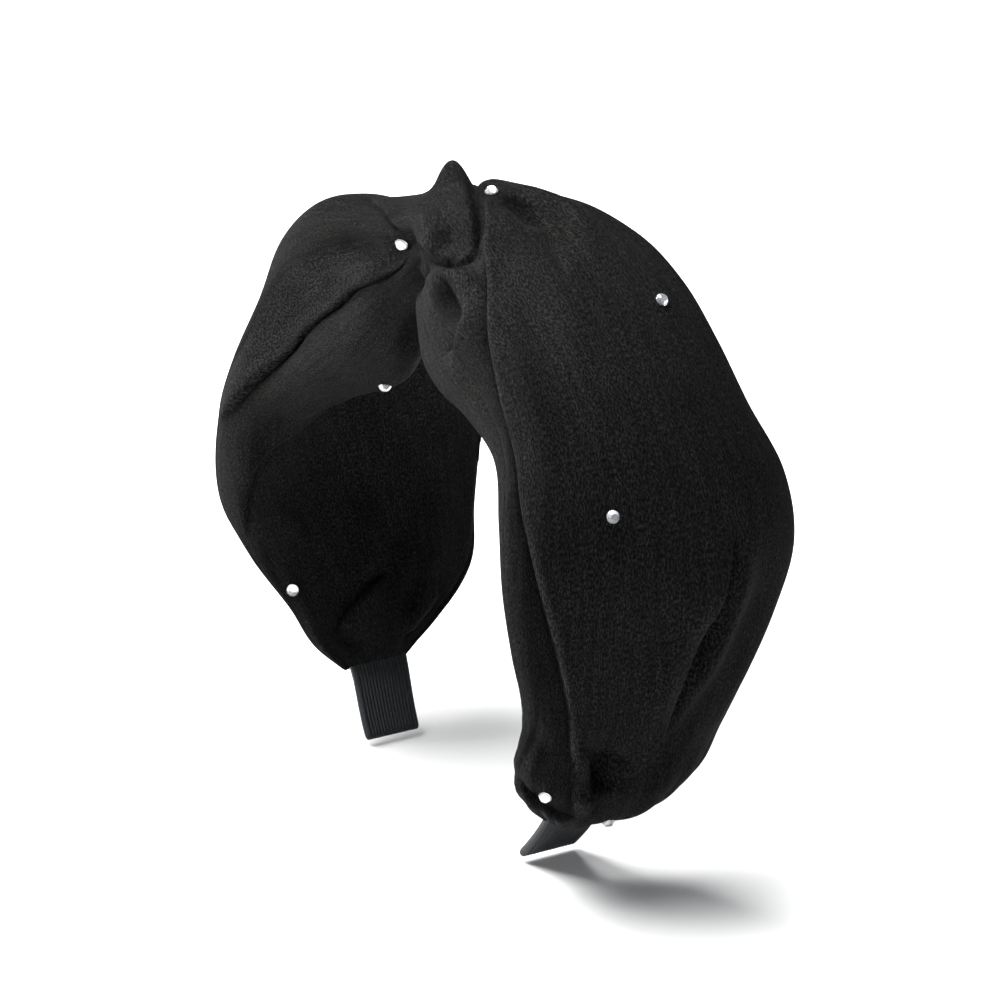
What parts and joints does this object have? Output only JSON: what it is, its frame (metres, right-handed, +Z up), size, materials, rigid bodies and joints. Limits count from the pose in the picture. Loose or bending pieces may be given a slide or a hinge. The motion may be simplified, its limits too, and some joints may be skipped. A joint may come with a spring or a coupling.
{
  "type": "headband",
  "caption": "Wide turban-style headband: a sprung hoop in two soft cloth tubes that meet in a twisted knot, set with small crystals.",
  "frame": {"origin": "the crown's underside, where the hoop bears on the head, midway between the front and back edges of the hoop strip", "axes": "+Z up out of the head, the two arms point down; -Y is the front edge of the band, +Y the back edge; +X is the right arm, seen from the front"},
  "size_m": [0.1508, 0.0773, 0.1538],
  "materials": {
    "crepe_satin": "soft satin-backed crepe, faint sheen",
    "grosgrain": "ribbed grosgrain ribbon",
    "hoop_plastic": "matte",
    "crystal": "clear faceted, foiled back"
  },
  "bodies": {
    "crown": {"hoop_core": "hoop_plastic", "knot_left_loop": "crepe_satin", "knot_right_loop": "crepe_satin", "crystal_knot_1": "crystal", "crystal_knot_2": "crystal"},
    "right_arm": {"right_sleeve": "crepe_satin", "right_end_ribbon": "grosgrain", "crystal_right_1": "crystal", "crystal_right_2": "crystal", "crystal_right_3": "crystal", "crystal_right_4": "crystal", "crystal_right_5": "crystal", "crystal_right_6": "crystal"},
    "left_arm": {"left_sleeve": "crepe_satin", "left_end_ribbon": "grosgrain", "crystal_left_1": "crystal", "crystal_left_2": "crystal", "crystal_left_3": "crystal", "crystal_left_4": "crystal", "crystal_left_5": "crystal", "crystal_left_6": "crystal"}
  },
  "joints": [
    {"name": "right_arm_flex", "type": "hinge", "parent": "crown", "child": "right_arm", "pos_m": [0.0235, 0, -0.0012], "axis": [0, -1, 0], "range_deg": [-2, 10], "stiffness_Nm_per_rad": 2, "deforming": ["hoop_core"]},
    {"name": "left_arm_flex", "type": "hinge", "parent": "crown", "child": "left_arm", "pos_m": [-0.0235, 0, -0.0012], "axis": [0, 1, 0], "range_deg": [-2, 10], "stiffness_Nm_per_rad": 2, "deforming": ["hoop_core"]}
  ]
}
